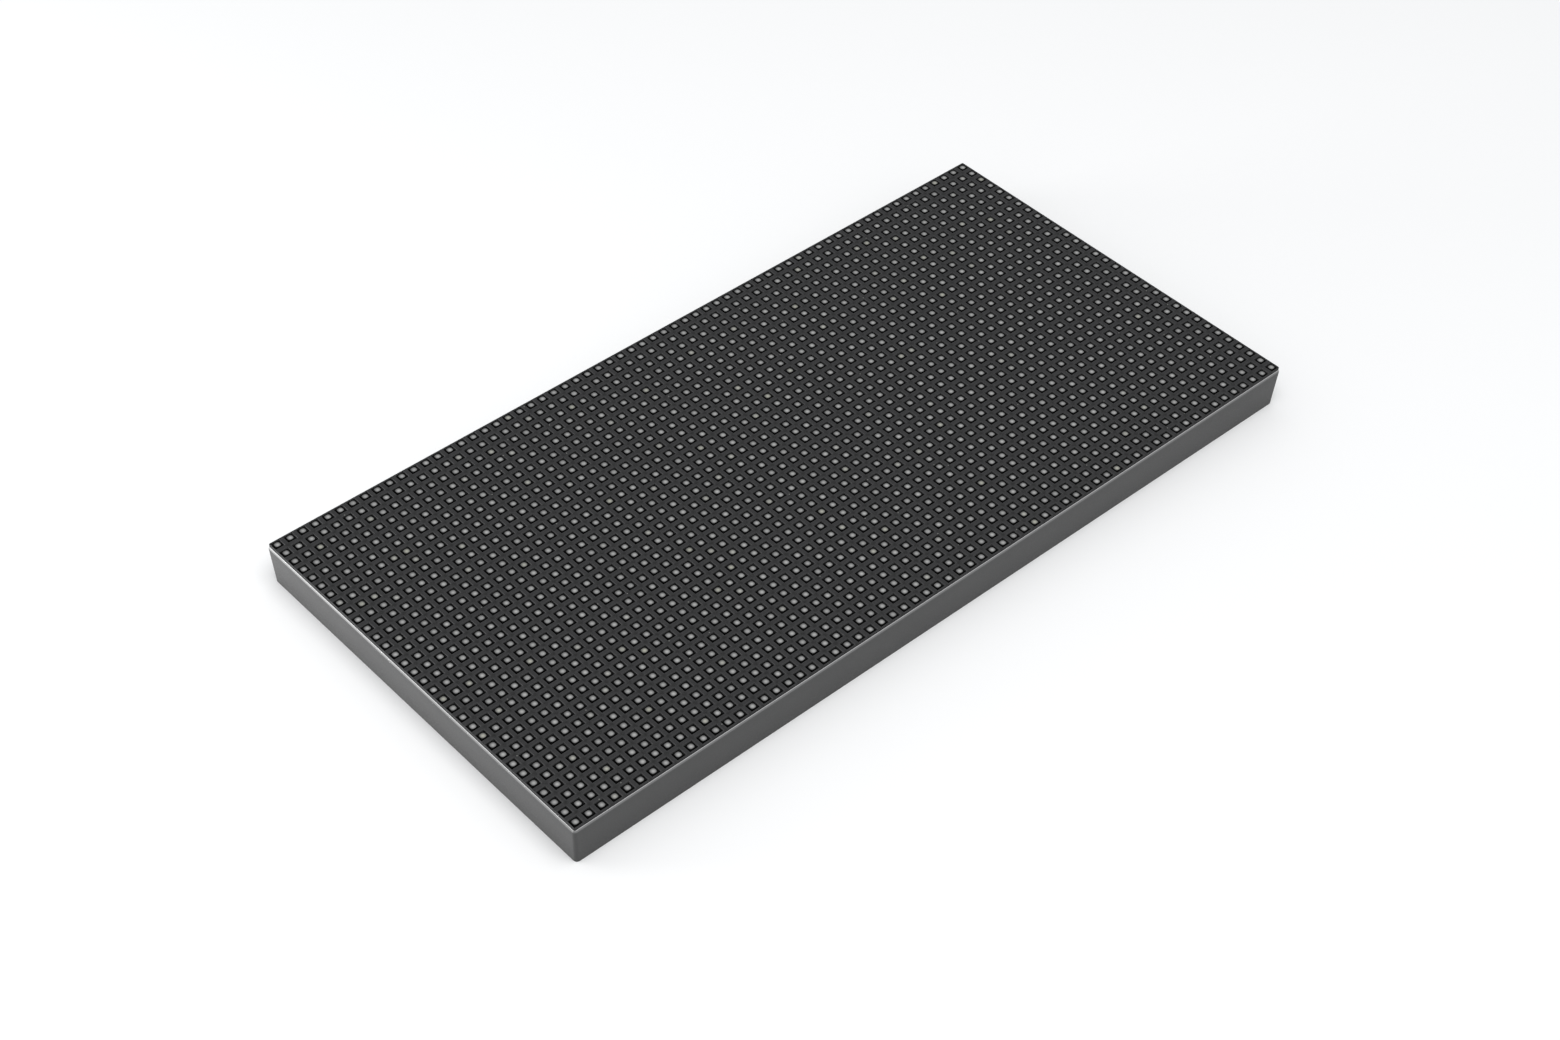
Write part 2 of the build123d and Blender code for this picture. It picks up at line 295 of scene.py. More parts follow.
rear_frame = moulded_copy("rear_frame", "frame_plastic", edge=0.12 * mm, segments=3)
grey_plastic = Finish("grey_moulded_plastic", {"IOR": 1.5, "Specular IOR Level": 0.2})
place = grey_plastic.place()
height = grey_plastic.axes(place)[2]
lip_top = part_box("rear_frame")[1].z
# The lip's top and the bevel under it are painted much lighter than the walls: a painted highlight
# along the frame's top edge.
lip = height.ramp(lip_top - 0.2 * mm, lip_top - 0.08 * mm)
painted_bevel_highlight = height.ramp(lip_top - 0.75 * mm, lip_top - 0.45 * mm)
cloud = grey_plastic.noise(place, 28 * mm, 3)
wall_colour = grey_plastic.mix(cloud, grey(0.06), grey(0.071))
low_shade = height.ramp(0, 8 * mm, 0.65, 0)
wall_colour = grey_plastic.mix(low_shade, wall_colour, grey(0.038))
wall_colour = grey_plastic.mix(painted_bevel_highlight, wall_colour, grey(0.18))
grey_plastic.feed("Base Color", grey_plastic.mix(lip, wall_colour, grey(0.55)))
grain = grey_plastic.noise(place, 0.35 * mm, 2)
grey_plastic.feed("Roughness", grain.ramp(0.3, 0.7, 0.38, 0.5) + lip * 0.1)
grey_plastic.bump(grain, 0.008 * mm)
grey_plastic.paint(rear_frame)

# Circuit board: black solder mask over copper on a glass laminate. It drops into the
# frame's recess, and each pixel's drive lines run in straight lanes over its back.
pitch = 4.0 * mm
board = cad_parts["circuit_board"]
board_back, board_front = [corner.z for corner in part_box("circuit_board")]
solder_mask = Finish("black_solder_mask", {"IOR": 1.5})
place = solder_mask.place()
x, y, z = solder_mask.axes(place)
lane_pitch = pitch / 6
lane_x = x / lane_pitch
lane_y = y / lane_pitch
in_upright_lane = abs(lane_x.fraction() - 0.5) < 0.2
in_cross_lane = abs(lane_y.fraction() - 0.5) < 0.2
upright_used = solder_mask.draw(lane_x.floor(), (y / (5 * pitch) + 0.5).floor()) > 0.6
cross_used = solder_mask.draw((x / (7 * pitch)).floor(), lane_y.floor(), 3.0) > 0.66
upright_trace = in_upright_lane * upright_used
cross_trace = in_cross_lane * cross_used
on_back = z < board_back + 0.1 * mm
trace = upright_trace.larger(cross_trace * 0.4) * on_back
hub_x = (lane_x / 2).fraction() - 0.5
hub_y = (lane_y / 2).fraction() - 0.5
from_hub = hub_x.reach(hub_y)
hub_used = solder_mask.draw((lane_x / 2).floor(), (lane_y / 2).floor(), 7.0) > 0.9
via_land = (from_hub < 0.2) * hub_used * on_back
via_hole = (from_hub < 0.09) * hub_used * on_back
weave = solder_mask.noise(place, 0.5 * mm, 3)
bare = solder_mask.mix(weave, (0.005, 0.0065, 0.006, 1), (0.009, 0.011, 0.01, 1))
laid = solder_mask.mix(trace * 0.9, bare, (0.022, 0.027, 0.024, 1))
landed = solder_mask.mix(via_land, laid, (0.09, 0.085, 0.07, 1))
solder_mask.feed("Base Color", solder_mask.mix(via_hole, landed, grey(0.002)))
solder_mask.feed("Roughness", weave.ramp(0.3, 0.7, 0.28, 0.36) + via_land * 0.1)
solder_mask.bump(trace + via_land * 1.5 - via_hole * 2 + weave * 0.2, 0.03 * mm)
solder_mask.paint(board)

# Face mask: one dark, matt moulding with a square window over each pixel. Every window
# has a small bevel, and six posts behind it take the screws.
columns = 64
rows = 32
window = 2.74 * mm
window_bevel = 0.1 * mm
mask_low, mask_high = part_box("front_mask")
mask_top = mask_high.z
mask_thickness = mask_top - board_front
half_length = columns * pitch / 2
half_width = rows * pitch / 2
edge_inset = half_length - mask_high.x
rim_reach = 0.1 * mm
corner_reach = 0.05 * mm
corner_radius = 0.4 * mm
hair = 0.01 * mm
deselect()
bpy.ops.mesh.primitive_grid_add(
    x_subdivisions=columns, y_subdivisions=rows, size=1, location=(0, 0, mask_top)
)
mask = bpy.context.object
mask.name = "face_mask"
mask.scale = (2 * half_length, 2 * half_width, 1)
bpy.ops.object.transform_apply(location=True, scale=True)
shape(mask)
bpy.ops.mesh.select_mode(type="FACE")
bpy.ops.mesh.select_all(action="SELECT")
bpy.ops.mesh.inset(thickness=(pitch - window) / 2, use_individual=True)
bpy.ops.mesh.delete(type="FACE")
for side in (-1, 1):
    pick_where(mask, "vert", lambda v: v.co.x * side > half_length - rim_reach)
    bpy.ops.transform.translate(value=(-side * edge_inset, 0, 0))
    pick_where(mask, "vert", lambda v: v.co.y * side > half_width - rim_reach)
    bpy.ops.transform.translate(value=(0, -side * edge_inset, 0))
modify(mask, "SOLIDIFY", thickness=mask_thickness, offset=-1)
corner_x = mask_high.x - corner_reach
corner_y = mask_high.y - corner_reach
shape(mask)
pick_where(
    mask, "edge", lambda e: all(abs(v.co.x) > corner_x and abs(v.co.y) > corner_y for v in e.verts)
)
bpy.ops.mesh.bevel(offset=corner_radius, segments=3, affect="EDGES")


def is_top_rim(edge):
    """An edge between the mask's top and one of its upright walls."""
    if any(v.co.z < mask_top - hair for v in edge.verts) or len(edge.link_faces) != 2:
        return False
    steep = [abs(f.normal.z) < 0.5 for f in edge.link_faces]
    return steep[0] != steep[1]


pick_where(mask, "edge", is_top_rim)
bpy.ops.mesh.bevel(offset=window_bevel, segments=1, affect="EDGES")


def block(name, low, high, edge):
    """A block between two corners, its edges rounded off by edge."""
    deselect()
    bpy.ops.mesh.primitive_cube_add(size=1, location=(Vector(low) + Vector(high)) / 2)
    piece = bpy.context.object
    piece.name = name
    piece.scale = Vector(high) - Vector(low)
    bpy.ops.object.transform_apply(location=True, scale=True)
    if edge:
        soften(piece, edge, 1)
    return piece


def lathe(name, rings, sides):
    """A turned piece round the origin's Z axis, from (radius, height) rings in turn."""
    deselect()
    radius, level = rings[0]
    bpy.ops.mesh.primitive_circle_add(
        vertices=sides, radius=radius, fill_type="NGON", location=(0, 0, level)
    )
    piece = bpy.context.object
    piece.name = name
    bpy.ops.object.transform_apply(location=True)
    shape(piece)
    bpy.ops.mesh.select_all(action="SELECT")
    for next_radius, next_level in rings[1:]:
        step = {"value": (0, 0, next_level - level)}
        bpy.ops.mesh.extrude_region_move(TRANSFORM_OT_translate=step)
        grow = next_radius / radius
        bpy.ops.transform.resize(value=(grow, grow, 1), center_override=(0, 0, next_level))
        radius, level = next_radius, next_level
    bpy.ops.mesh.select_all(action="SELECT")
    bpy.ops.mesh.normals_make_consistent(inside=False)
    bpy.ops.object.mode_set(mode="OBJECT")
    bpy.ops.object.shade_smooth_by_angle(angle=math.radians(40))
    return piece


def cut(piece, *tools):
    """Cuts the tools' shapes out of the piece, and throws the tools away."""
    for tool in tools:
        modify(piece, "BOOLEAN", operation="DIFFERENCE", object=tool, solver="EXACT")
        bpy.data.objects.remove(tool)
    bpy.ops.object.shade_smooth_by_angle(angle=math.radians(30))


def join(*pieces):
    """Makes the pieces one mesh under the first one's name."""
    deselect()
    for piece in pieces:
        piece.select_set(True)
    bpy.context.view_layer.objects.active = pieces[0]
    bpy.ops.object.join()
    return pieces[0]


def set_out(piece, spots, turn=0):
    """One mesh with a copy of the piece, turned by turn degrees, at each spot in mm."""
    copies = []
    for x, y in spots:
        copy = piece.copy()
        copy.data = piece.data.copy()
        bpy.context.scene.collection.objects.link(copy)
        copy.location = (x * mm, y * mm, 0)
        copy.rotation_euler = (0, 0, math.radians(turn))
        copies.append(copy)
    deselect()
    for copy in copies:
        copy.select_set(True)
    bpy.context.view_layer.objects.active = copies[0]
    bpy.ops.object.transform_apply(location=True, rotation=True)
    name = piece.name
    bpy.data.objects.remove(piece)
    whole = join(*copies)
    whole.name = name
    return whole


screw_spots = [(x, y) for x in (-44, 44) for y in (-56, 56)] + [(-120, 0), (120, 0)]
post_half = 0.8 * mm
post_overlap = 0.05 * mm
post = block(
    "mask_post",
    (-post_half, -post_half, mask_low.z),
    (post_half, post_half, board_front + post_overlap),
    0.1 * mm,
)
pilot_radius = 0.5 * mm
pilot_end = board_front - 0.2 * mm
pilot = lathe("pilot", [(pilot_radius, mask_low.z - 1 * mm), (pilot_radius, pilot_end)], 16)
cut(post, pilot)
mask = join(mask, set_out(post, screw_spots))
mount(mask, "mask_plastic", "front_mask")
matt_plastic = Finish("dark_matt_plastic", {"IOR": 1.45, "Specular IOR Level": 0.25})
place = matt_plastic.place()
x, y, z = matt_plastic.axes(place)
across = abs((x / pitch).fraction() - 0.5)
along = abs((y / pitch).fraction() - 0.5)
from_window = across.larger(along) * pitch - window / 2
from_crossing = (0.5 - across).reach(0.5 - along) * pitch
on_top = z > mask_top - window_bevel
# A painted highlight: the mask's top is painted lighter along the rim of each window.
painted_rim_highlight = from_window.ramp(0.02 * mm, 0.3 * mm, 1, 0) * on_top
cloud = matt_plastic.noise(place, 16 * mm, 3)
mask_colour = matt_plastic.mix(cloud, (0.021, 0.021, 0.022, 1), (0.028, 0.028, 0.029, 1))
mask_colour = matt_plastic.mix(painted_rim_highlight * 0.35, mask_colour, (0.075, 0.075, 0.076, 1))
crossing = from_crossing.ramp(0.3 * mm, 0.85 * mm, 0.8, 0)
mask_colour = matt_plastic.mix(crossing, mask_colour, grey(0.012))
depth = mask_top - z
# The windows' walls just under the rim are painted lighter than the mask's top: painted light on the
# walls.
painted_wall_light = depth.ramp(0.1 * mm, 0.14 * mm) * (from_window < 0.05 * mm)
mask_colour = matt_plastic.mix(painted_wall_light, mask_colour, grey(0.1))
# Deeper in each window the walls are painted near black: painted shade in the wells.
painted_well_shade = depth.ramp(0.4 * mm, 0.6 * mm)
mask_colour = matt_plastic.mix(painted_well_shade, mask_colour, grey(0.006))
grain = matt_plastic.noise(place, 0.45 * mm, 3, 0.6)
mask_colour = matt_plastic.mix(grain.ramp(0.45, 0.75, 0, 0.5) * on_top, mask_colour, grey(0.05))
fleck_size = 0.3 * mm
fleck_x = (x / fleck_size).floor()
fleck_y = (y / fleck_size).floor()
fleck = matt_plastic.draw(fleck_x, fleck_y) > 0.9997
matt_plastic.feed("Base Color", matt_plastic.mix(fleck, mask_colour, (0.16, 0.16, 0.15, 1)))
matt_plastic.feed("Roughness", grain.ramp(0.3, 0.7, 0.5, 0.68))
matt_plastic.bump(grain, 0.02 * mm)
matt_plastic.paint(mask)

# LED packages: a black square body soldered to the board under each window, with a well
# of milky resin over the three dice. One is modelled, and the rest are copies of it.
led_size = 2.1 * mm
well_size = 1.62 * mm
well_depth = 0.1 * mm
well_corner = 0.5 * mm
resin_thickness = 0.06 * mm
led_top = mask_top - 0.08 * mm
first_led = Vector((-(columns - 1) / 2 * pitch, -(rows - 1) / 2 * pitch, 0))
led_half = Vector((led_size / 2, led_size / 2, 0))
led_bodies = block(
    "led_bodies",
    first_led - led_half + Vector((0, 0, board_front)),
    first_led + led_half + Vector((0, 0, led_top)),
    0,
)
shape(led_bodies)
pick_where(led_bodies, "face", lambda f: f.normal.z > 0.5)
bpy.ops.mesh.inset(thickness=(led_size - well_size) / 2)


def is_well_corner(vert):
    """A corner of the square that the well is sunk into."""
    away = vert.co - first_led
    return max(abs(away.x), abs(away.y)) < 0.51 * well_size and vert.co.z > led_top - hair


def is_well_floor(face):
    """The face at the middle of the body's top, inside the well's corners."""
    away = (face.calc_center_median() - first_led).to_2d()
    return face.normal.z > 0.5 and away.length < 0.1 * mm and face.calc_area() < well_size**2


pick_where(led_bodies, "vert", is_well_corner)
bpy.ops.mesh.bevel(offset=well_corner, segments=3, affect="VERTICES")
pick_where(led_bodies, "face", is_well_floor)
bpy.ops.mesh.extrude_region_move(TRANSFORM_OT_translate={"value": (0, 0, -well_depth)})
bpy.ops.mesh.duplicate()
bpy.ops.mesh.separate(type="SELECTED")
bpy.ops.mesh.select_all(action="SELECT")
bpy.ops.mesh.dissolve_limited(angle_limit=math.radians(1))
bpy.ops.object.mode_set(mode="OBJECT")
led_lenses = [o for o in bpy.context.selected_objects if o != led_bodies][0]
led_lenses.name = "led_lenses"
modify(led_lenses, "SOLIDIFY", thickness=resin_thickness, offset=1 / 3)


def repeat(piece, count, step):
    """Makes a row of count pieces, each one step on from the last."""
    modify(
        piece, "ARRAY", count=count, use_relative_offset=False,
        use_constant_offset=True, constant_offset_displace=step,
    )


for piece in (led_bodies, led_lenses):
    repeat(piece, columns, (pitch, 0, 0))
    repeat(piece, rows, (0, pitch, 0))
mount(led_bodies, "led_resin", "leds")
mount(led_lenses, "led_resin")
black_body = Finish("black_led_body", {"Roughness": 0.6, "Specular IOR Level": 0.05})
grain = black_body.noise(black_body.place(), 0.2 * mm)
black_body.feed("Base Color", black_body.mix(grain, grey(0.001), grey(0.004)))
black_body.paint(led_bodies)
milky_resin = Finish("milky_resin", {"Roughness": 0.35, "IOR": 1.5})
x, y = milky_resin.axes(milky_resin.place())[:2]
column = (x / pitch).floor()
row = (y / pitch).floor()
across = ((x / pitch).fraction() - 0.5) * pitch
along = ((y / pitch).fraction() - 0.5) * pitch
from_middle = across.reach(along)
tone = milky_resin.draw(column, row)
tint = milky_resin.draw(column, row, 5.0)
plain = milky_resin.mix(tone, (0.29, 0.29, 0.285, 1), (0.38, 0.38, 0.372, 1))
tinted = milky_resin.mix(tint.ramp(0.94, 1.0, 0, 0.6), plain, (0.36, 0.36, 0.27, 1))
# The resin is painted darker toward its rim, round a bright middle set slightly off centre: painted
# shade and a painted soft highlight.
painted_rim_shade = (across - 0.03 * mm).reach(along + 0.08 * mm).ramp(0.2 * mm, 0.86 * mm, 0, 0.92)
shaded = milky_resin.mix(painted_rim_shade, tinted, grey(0.06))
die_shows = milky_resin.draw(column, row, 9.0).ramp(0.8, 1.0, 0, 0.5)
die = from_middle.ramp(0.1 * mm, 0.3 * mm, 1, 0) * die_shows
milky_resin.feed("Base Color", milky_resin.mix(die, shaded, grey(0.1)))
milky_resin.paint(led_lenses)

# Mask screws: six steel self-tapping screws with pan heads and cross recesses. They are
# driven from behind, through the frame's blocks and the board, into the mask's posts.
screw_seat = 7.5 * mm
screw_head = 6.4 * mm
screw_tip = 12.0 * mm
screw_core = 0.45 * mm
mask_screw = lathe(
    "pan_head_screws",
    [
        (0.1 * mm, screw_tip),
        (screw_core, screw_tip - 0.4 * mm),
        (screw_core, screw_seat),
        (1.9 * mm, screw_seat),
        (1.9 * mm, 7.0 * mm),
        (1.78 * mm, 6.7 * mm),
        (1.5 * mm, 6.48 * mm),
        (1.1 * mm, screw_head),
    ],
    24,
)
blade = 0.225 * mm
recess = 0.95 * mm
recess_depth = 0.55 * mm
recess_floor = screw_head + recess_depth
cut(
    mask_screw,
    block("slot_x", (-recess, -blade, 0), (recess, blade, recess_floor), 0),
    block("slot_y", (-blade, -recess, 0), (blade, recess, recess_floor), 0),
)


def thread(name, radius, height, low, turns, lead):
    """A helical ridge of the given height round the origin's Z axis, from low upward."""
    deselect()
    bpy.ops.mesh.primitive_circle_add(
        vertices=3, radius=height, location=(radius, 0, low), rotation=(math.radians(90), 0, 0)
    )
    ridge = bpy.context.object
    ridge.name = name
    bpy.ops.object.transform_apply(location=True, rotation=True)
    modify(
        ridge, "SCREW", axis="Z", screw_offset=lead, iterations=turns,
        steps=14, render_steps=14, use_merge_vertices=False,
    )
    shape(ridge)
    bpy.ops.mesh.select_all(action="SELECT")
    bpy.ops.mesh.fill_holes(sides=3)
    bpy.ops.mesh.normals_make_consistent(inside=False)
    bpy.ops.object.mode_set(mode="OBJECT")
    return ridge


screw_thread = thread(
    "screw_thread", screw_core, height=0.12 * mm, low=screw_seat + 0.5 * mm, turns=7, lead=0.45 * mm
)
mask_screws = set_out(join(mask_screw, screw_thread), screw_spots)
mount(mask_screws, "screw_steel", "mask_screws")


def wandering(name, dark, light, lump, rough, grain_height, constants):
    """A finish whose colour wanders between two tones, over a fine grain."""
    finish = Finish(name, constants)
    place = finish.place()
    cloud = finish.noise(place, lump, 3)
    finish.feed("Base Color", finish.mix(cloud.ramp(0.3, 0.7), (*dark, 1), (*light, 1)))
    grain = finish.noise(place, 0.25 * mm)
    finish.feed("Roughness", grain.ramp(0.3, 0.7, rough - 0.06, rough + 0.06))
    finish.bump(grain, grain_height)
    return finish


zinc_steel = wandering(
    "zinc_plated_steel", (0.42, 0.43, 0.45), (0.55, 0.56, 0.57),
    lump=2 * mm, rough=0.28, grain_height=0.006 * mm, constants={"Metallic": 1.0},
)
zinc_steel.paint(mask_screws)

# Mounting inserts: six hexagonal brass nuts with an M3 thread, moulded into the frame's
# round bosses, level with the rear rim.
insert_spots = [(x, y) for x in (-112, 0, 112) for y in (-52, 52)]
inserts = moulded_copy("mounting_inserts", "insert_brass", edge=0.12 * mm)
insert_thread = thread(
    "insert_threads", radius=1.27 * mm, height=0.16 * mm, low=0.4 * mm, turns=10, lead=0.5 * mm
)
insert_threads = set_out(insert_thread, insert_spots)
mount(insert_threads, "insert_brass")
turned_brass = wandering(
    "turned_brass", (0.55, 0.38, 0.16), (0.66, 0.48, 0.23),
    lump=3 * mm, rough=0.3, grain_height=0.006 * mm, constants={"Metallic": 1.0},
)
turned_brass.paint(inserts, insert_threads)

# Data headers: two keyed black shells of moulded polyester, each soldered to the board by
# the feet of its sixteen gold-plated pins. One takes the data in, the other passes it on.
data_shells = [
    moulded_copy("data_in_header", "header_plastic", edge=0.15 * mm),
    moulded_copy("data_out_header", "header_plastic", edge=0.15 * mm),
]
data_pins = [
    moulded_copy("data_in_pins", "pin_gold", edge=0.12 * mm, segments=1),
    moulded_copy("data_out_pins", "pin_gold", edge=0.12 * mm, segments=1),
]
black_polyester = wandering(
    "black_polyester", (0.012, 0.012, 0.012), (0.02, 0.02, 0.021),
    lump=6 * mm, rough=0.42, grain_height=0.01 * mm, constants={"IOR": 1.5},
)
black_polyester.paint(*data_shells)
gold_plate = wandering(
    "gold_plate", (0.78, 0.55, 0.2), (0.86, 0.64, 0.28),
    lump=2 * mm, rough=0.22, grain_height=0.003 * mm, constants={"Metallic": 1.0},
)
gold_plate.paint(*data_pins)


def solder_pad(name, low_x, high_x, low_y, high_y, thickness):
    """A pad of solder on the board's back, drawn in toward its crest."""
    pad = block(name, (low_x, low_y, board_back - thickness), (high_x, high_y, board_back), 0)
    shape(pad)
    pick_where(pad, "face", lambda f: f.normal.z < -0.5)
    middle = ((low_x + high_x) / 2, (low_y + high_y) / 2, board_back - thickness)
    bpy.ops.transform.resize(value=(0.8, 0.7, 1), center_override=middle)
    bpy.ops.object.mode_set(mode="OBJECT")
    return pad


header_x = 100
foot_x = 5.05
pin_pitch = 2.54
pin_row_x = [end * header_x + side * foot_x for end in (-1, 1) for side in (-1, 1)]
pin_spots = [(x, (n - 3.5) * pin_pitch) for x in pin_row_x for n in range(8)]
pin_solder = solder_pad("pin_solder", -0.75 * mm, 0.75 * mm, -0.5 * mm, 0.5 * mm, 0.2 * mm)
pin_solder = set_out(pin_solder, pin_spots)
mount(pin_solder, "pin_tin")
bright_tin = wandering(
    "bright_tin", (0.56, 0.56, 0.55), (0.7, 0.7, 0.69),
    lump=1.5 * mm, rough=0.3, grain_height=0.01 * mm, constants={"Metallic": 1.0},
)
bright_tin.paint(pin_solder)

# Power header: a white nylon base with a high latching wall, and four square tinned
# pins for the supply and its return.
power_header = moulded_copy("power_header", "power_nylon", edge=0.2 * mm)
power_pins = moulded_copy("power_pins", "pin_tin", edge=0.22 * mm, segments=1)
white_nylon = wandering(
    "white_nylon", (0.62, 0.6, 0.54), (0.7, 0.68, 0.62),
    lump=8 * mm, rough=0.36, grain_height=0.008 * mm, constants={"IOR": 1.5},
)
white_nylon.paint(power_header)
bright_tin.paint(power_pins)

# Driver chips: twenty-four constant-current drivers in black epoxy, two rows to each
# half of the board. Their bent, tinned leads are soldered to it along both long sides.
chip_draft = math.tan(math.radians(8))


def sheet(name, middle, length, width):
    """A level rectangle, with no thickness yet, round its middle."""
    deselect()
    bpy.ops.mesh.primitive_plane_add(size=1, location=middle)
    piece = bpy.context.object
    piece.name = name
    piece.scale = (length, width, 1)
    bpy.ops.object.transform_apply(location=True, scale=True)
    return piece


def leaded_chips(node, size, spots, turn, leads, spacing, lead_width):
    """Drafted epoxy bodies with a dimple by the first lead, and two rows of leads."""
    length, width, height = [value * mm for value in size]
    top = board_back - height
    body = block(
        node + "_bodies", (-length / 2, -width / 2, top), (length / 2, width / 2, board_back), 0
    )
    shape(body)
    pick_where(body, "face", lambda f: f.normal.z < -0.5)
    drawn_in = 2 * height * chip_draft
    bpy.ops.transform.resize(
        value=((length - drawn_in) / length, (width - drawn_in) / width, 1),
        center_override=(0, 0, top),
    )
    bpy.ops.object.mode_set(mode="OBJECT")
    dimple_radius = 0.3 * mm
    dimple_inset = 1 * mm
    dimple = lathe("dimple", [(dimple_radius, top - 1 * mm), (dimple_radius, top + 0.08 * mm)], 16)
    shape(dimple)
    bpy.ops.mesh.select_all(action="SELECT")
    bpy.ops.transform.translate(value=(dimple_inset - length / 2, dimple_inset - width / 2, 0))
    soften(body, 0.07 * mm, 1)
    cut(body, dimple)
    bodies = set_out(body, spots, turn)
    mount(bodies, "chip_epoxy", node)

    first_x = -(leads - 1) / 2 * spacing * mm
    shoulder = board_back - height / 2
    inner = width / 2 - 0.25 * mm
    knee = width / 2 + 0.2 * mm
    bend = 0.2 * mm
    drop = board_back - 0.1 * mm - shoulder
    foot_length = 0.6 * mm
    lead_thickness = 0.14 * mm
    lead_middle = (first_x, (inner + knee) / 2, shoulder)
    lead = sheet(node + "_leads", lead_middle, lead_width * mm, knee - inner)
    shape(lead)
    pick_where(lead, "edge", lambda e: all(v.co.y > knee - hair for v in e.verts))
    bpy.ops.mesh.extrude_region_move(TRANSFORM_OT_translate={"value": (0, bend, drop)})
    bpy.ops.mesh.extrude_region_move(TRANSFORM_OT_translate={"value": (0, foot_length, 0)})
    modify(lead, "SOLIDIFY", thickness=lead_thickness, offset=0)
    pad_half = lead_width * mm / 2 + 0.05 * mm
    pad = solder_pad(
        node + "_solder", first_x - pad_half, first_x + pad_half,
        knee + 0.1 * mm, knee + 1.0 * mm, 0.12 * mm,
    )
    finished = []
    for piece in (lead, pad):
        repeat(piece, leads, (spacing * mm, 0, 0))
        modify(piece, "MIRROR", use_axis=(False, True, False))
        piece = set_out(piece, spots, turn)
        mount(piece, "pin_tin")
        finished.append(piece)
    bright_tin.paint(*finished)
    return bodies


driver_spots = [(x, y) for y in (-46, -30, 30, 46) for x in (-90, -54, -18, 18, 54, 90)]
drivers = leaded_chips(
    "driver_chips", (8.65, 3.9, 1.5), driver_spots,
    turn=0, leads=12, spacing=0.635, lead_width=0.26,
)
black_epoxy = wandering(
    "black_epoxy", (0.014, 0.014, 0.015), (0.024, 0.024, 0.025),
    lump=3 * mm, rough=0.5, grain_height=0.02 * mm, constants={"IOR": 1.5},
)
black_epoxy.paint(drivers)

# Buffers and row decoders: two of each beside the data input, turned across the board.
# They square up the incoming signals and choose the row that is lit.
pair_y = (-9, 9)
buffer_spots = [(-76, y) for y in pair_y]
buffers = leaded_chips(
    "buffer_chips", (12.8, 7.5, 2.3), buffer_spots,
    turn=90, leads=10, spacing=1.27, lead_width=0.42,
)
decoder_spots = [(-62, y) for y in pair_y]
decoders = leaded_chips(
    "row_decoders", (9.9, 3.9, 1.5), decoder_spots,
    turn=90, leads=8, spacing=1.27, lead_width=0.42,
)
black_epoxy.paint(buffers, decoders)

# Row switches: eight small transistor pairs near the data output, in the same black
# epoxy. Each one feeds power to some of the rows when a row decoder calls it.
switch_spots = [(x, y) for y in pair_y for x in (54.5, 63.5, 72.5, 81.5)]
switches = leaded_chips(
    "row_switches", (4.9, 3.9, 1.5), switch_spots,
    turn=90, leads=4, spacing=1.27, lead_width=0.42,
)
black_epoxy.paint(switches)


# Chip resistors and capacitors: one of each beside every driver. A ceramic block carries
# a tinned cap at either end, and the resistors have a black glaze over the film.
def span(side, near, far):
    """The low end and the high end of a stretch on one side of the middle."""
    return sorted((side * near, side * far))


def end_capped(node, slot, size, spots):
    """Small ceramic blocks lying across the board, with a tinned cap at either end."""
    length, width, height = [value * mm for value in size]
    body = block(
        node + "_bodies", (-length / 2, -width / 2, board_back - height),
        (length / 2, width / 2, board_back), 0.05 * mm,
    )
    bodies = set_out(body, spots, 90)
    mount(bodies, slot, node)
    proud = 0.02 * mm
    cap_length = 0.32 * mm
    caps = []
    for side in (-1, 1):
        ends = span(side, length / 2 - cap_length, length / 2 + proud)
        caps.append(block(
            node + "_caps", (ends[0], -width / 2 - proud, board_back - height - proud),
            (ends[1], width / 2 + proud, board_back), 0.04 * mm,
        ))
        feet = span(side, length / 2 - 0.2 * mm, length / 2 + 0.35 * mm)
        caps.append(solder_pad(
            node + "_feet", feet[0], feet[1], -width / 2 - 0.05 * mm, width / 2 + 0.05 * mm, 0.2 * mm
        ))
    capped = set_out(join(*caps), spots, 90)
    mount(capped, "pin_tin")
    bright_tin.paint(capped)
    return bodies


passive_offset = 7
capacitor_spots = [(x + passive_offset, y) for x, y in driver_spots]
capacitors = end_capped(
    "chip_capacitors", "capacitor_ceramic", (1.6, 0.8, 0.8), capacitor_spots
)
tan_ceramic = wandering(
    "tan_ceramic", (0.26, 0.17, 0.1), (0.36, 0.25, 0.16),
    lump=1 * mm, rough=0.5, grain_height=0.01 * mm, constants={},
)
tan_ceramic.paint(capacitors)
resistor_spots = [(x - passive_offset, y) for x, y in driver_spots]
resistors = end_capped(
    "chip_resistors", "resistor_glaze", (1.6, 0.8, 0.45), resistor_spots
)
black_glaze = Finish("black_glaze", {})
place = black_glaze.place()
depth = board_back - black_glaze.axes(place)[2]
glazed = depth > 0.4 * mm
speckle = black_glaze.noise(place, 0.3 * mm)
ceramic = black_glaze.mix(speckle, (0.55, 0.54, 0.5, 1), (0.66, 0.65, 0.61, 1))
black_glaze.feed("Base Color", black_glaze.mix(glazed, ceramic, (0.012, 0.012, 0.014, 1)))
black_glaze.feed("Roughness", speckle.ramp(0.3, 0.7, 0.25, 0.4))
black_glaze.paint(resistors)

